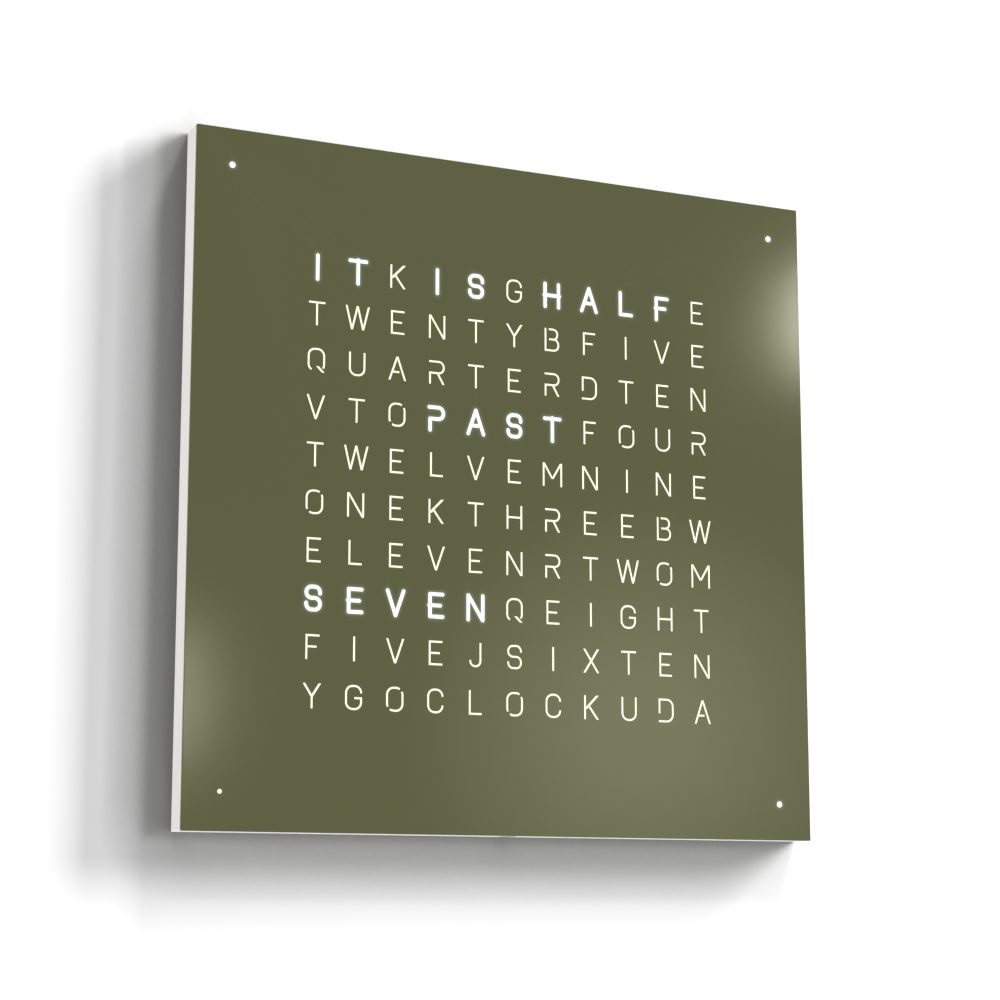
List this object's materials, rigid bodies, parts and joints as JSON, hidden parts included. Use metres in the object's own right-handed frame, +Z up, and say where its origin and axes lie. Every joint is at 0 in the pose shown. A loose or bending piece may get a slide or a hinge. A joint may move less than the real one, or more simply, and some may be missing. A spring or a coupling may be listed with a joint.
{
  "type": "word clock",
  "caption": "Square wall clock that tells the time in lit cut-out words, with a magnet-held steel cover over a lacquered casing.",
  "frame": {"origin": "centre of the back face, on the wall's surface", "axes": "+X to the right as seen from the room, +Z up, +Y into the wall; the front faces -Y"},
  "size_m": [0.45, 0.02, 0.45],
  "materials": {
    "cover_paint": "fine-textured satin powder coat, olive",
    "opal_sheet": "opal acrylic, matt both sides, warm white",
    "grid_moulding": "moulded, fine spark texture, white",
    "casing_lacquer": "routed fibre board under satin white lacquer",
    "panel_aluminium": "rolled sheet, brushed along its width, clear anodised",
    "strip_board": "white solder mask",
    "lamp_package": "white package with a yellow phosphor face",
    "lead_jacket": "grey extruded jacket",
    "magnet_plating": "nickel plated",
    "screw_steel": "zinc plated",
    "board_laminate": "green solder mask on glass laminate",
    "turned_brass": "turned, bright",
    "black_moulding": "moulded, fine matt",
    "cell_steel": "stamped stainless can",
    "capacitor_can": "drawn can",
    "button_moulding": "moulded, satin, light grey"
  },
  "bodies": {
    "clock": {"diffuser_sheet": "opal_sheet", "light_grid": "grid_moulding", "casing": "casing_lacquer", "rear_panel": "panel_aluminium", "lamp_strip_01": "strip_board", "lamp_strip_02": "strip_board", "lamp_strip_03": "strip_board", "lamp_strip_04": "strip_board", "lamp_strip_05": "strip_board", "lamp_strip_06": "strip_board", "lamp_strip_07": "strip_board", "lamp_strip_08": "strip_board", "lamp_strip_09": "strip_board", "lamp_strip_10": "strip_board", "minute_board_top_left": "strip_board", "minute_board_top_right": "strip_board", "minute_board_bottom_left": "strip_board", "minute_board_bottom_right": "strip_board", "lamps_row_01": "lamp_package", "lamps_row_02": "lamp_package", "lamps_row_03": "lamp_package", "lamps_row_04": "lamp_package", "lamps_row_05": "lamp_package", "lamps_row_06": "lamp_package", "lamps_row_07": "lamp_package", "lamps_row_08": "lamp_package", "lamps_row_09": "lamp_package", "lamps_row_10": "lamp_package", "minute_lamps": "lamp_package", "strip_links": "lead_jacket", "minute_leads": "lead_jacket", "ribbon_cable": "lead_jacket", "magnets": "magnet_plating", "panel_screws": "screw_steel", "board_screws": "screw_steel", "controller_board": "board_laminate", "board_spacers": "turned_brass", "power_pin": "turned_brass", "power_jack": "black_moulding", "microcontroller": "black_moulding", "timekeeper_chip": "black_moulding", "cell_holder": "black_moulding", "strip_plug": "black_moulding", "brightness_switch": "black_moulding", "hour_switch": "black_moulding", "minute_switch": "black_moulding", "coin_cell": "cell_steel", "capacitor": "capacitor_can"},
    "cover": {"front_cover": "cover_paint"},
    "brightness_key": {"brightness_button": "button_moulding", "brightness_switch_nub": "button_moulding"},
    "hour_key": {"hour_button": "button_moulding", "hour_switch_nub": "button_moulding"},
    "minute_key": {"minute_button": "button_moulding", "minute_switch_nub": "button_moulding"}
  },
  "joints": [
    {"name": "cover_lift", "type": "slide", "parent": "clock", "child": "cover", "axis": [0, -1, 0], "range_m": [0, 0.03]},
    {"name": "brightness_press", "type": "slide", "parent": "clock", "child": "brightness_key", "axis": [0, 0, 1], "range_m": [0, 0.0008], "stiffness_N_per_m": 600, "springref_m": -0.002},
    {"name": "hour_press", "type": "slide", "parent": "clock", "child": "hour_key", "axis": [0, 0, 1], "range_m": [0, 0.0008], "stiffness_N_per_m": 600, "springref_m": -0.002},
    {"name": "minute_press", "type": "slide", "parent": "clock", "child": "minute_key", "axis": [0, 0, 1], "range_m": [0, 0.0008], "stiffness_N_per_m": 600, "springref_m": -0.002}
  ]
}
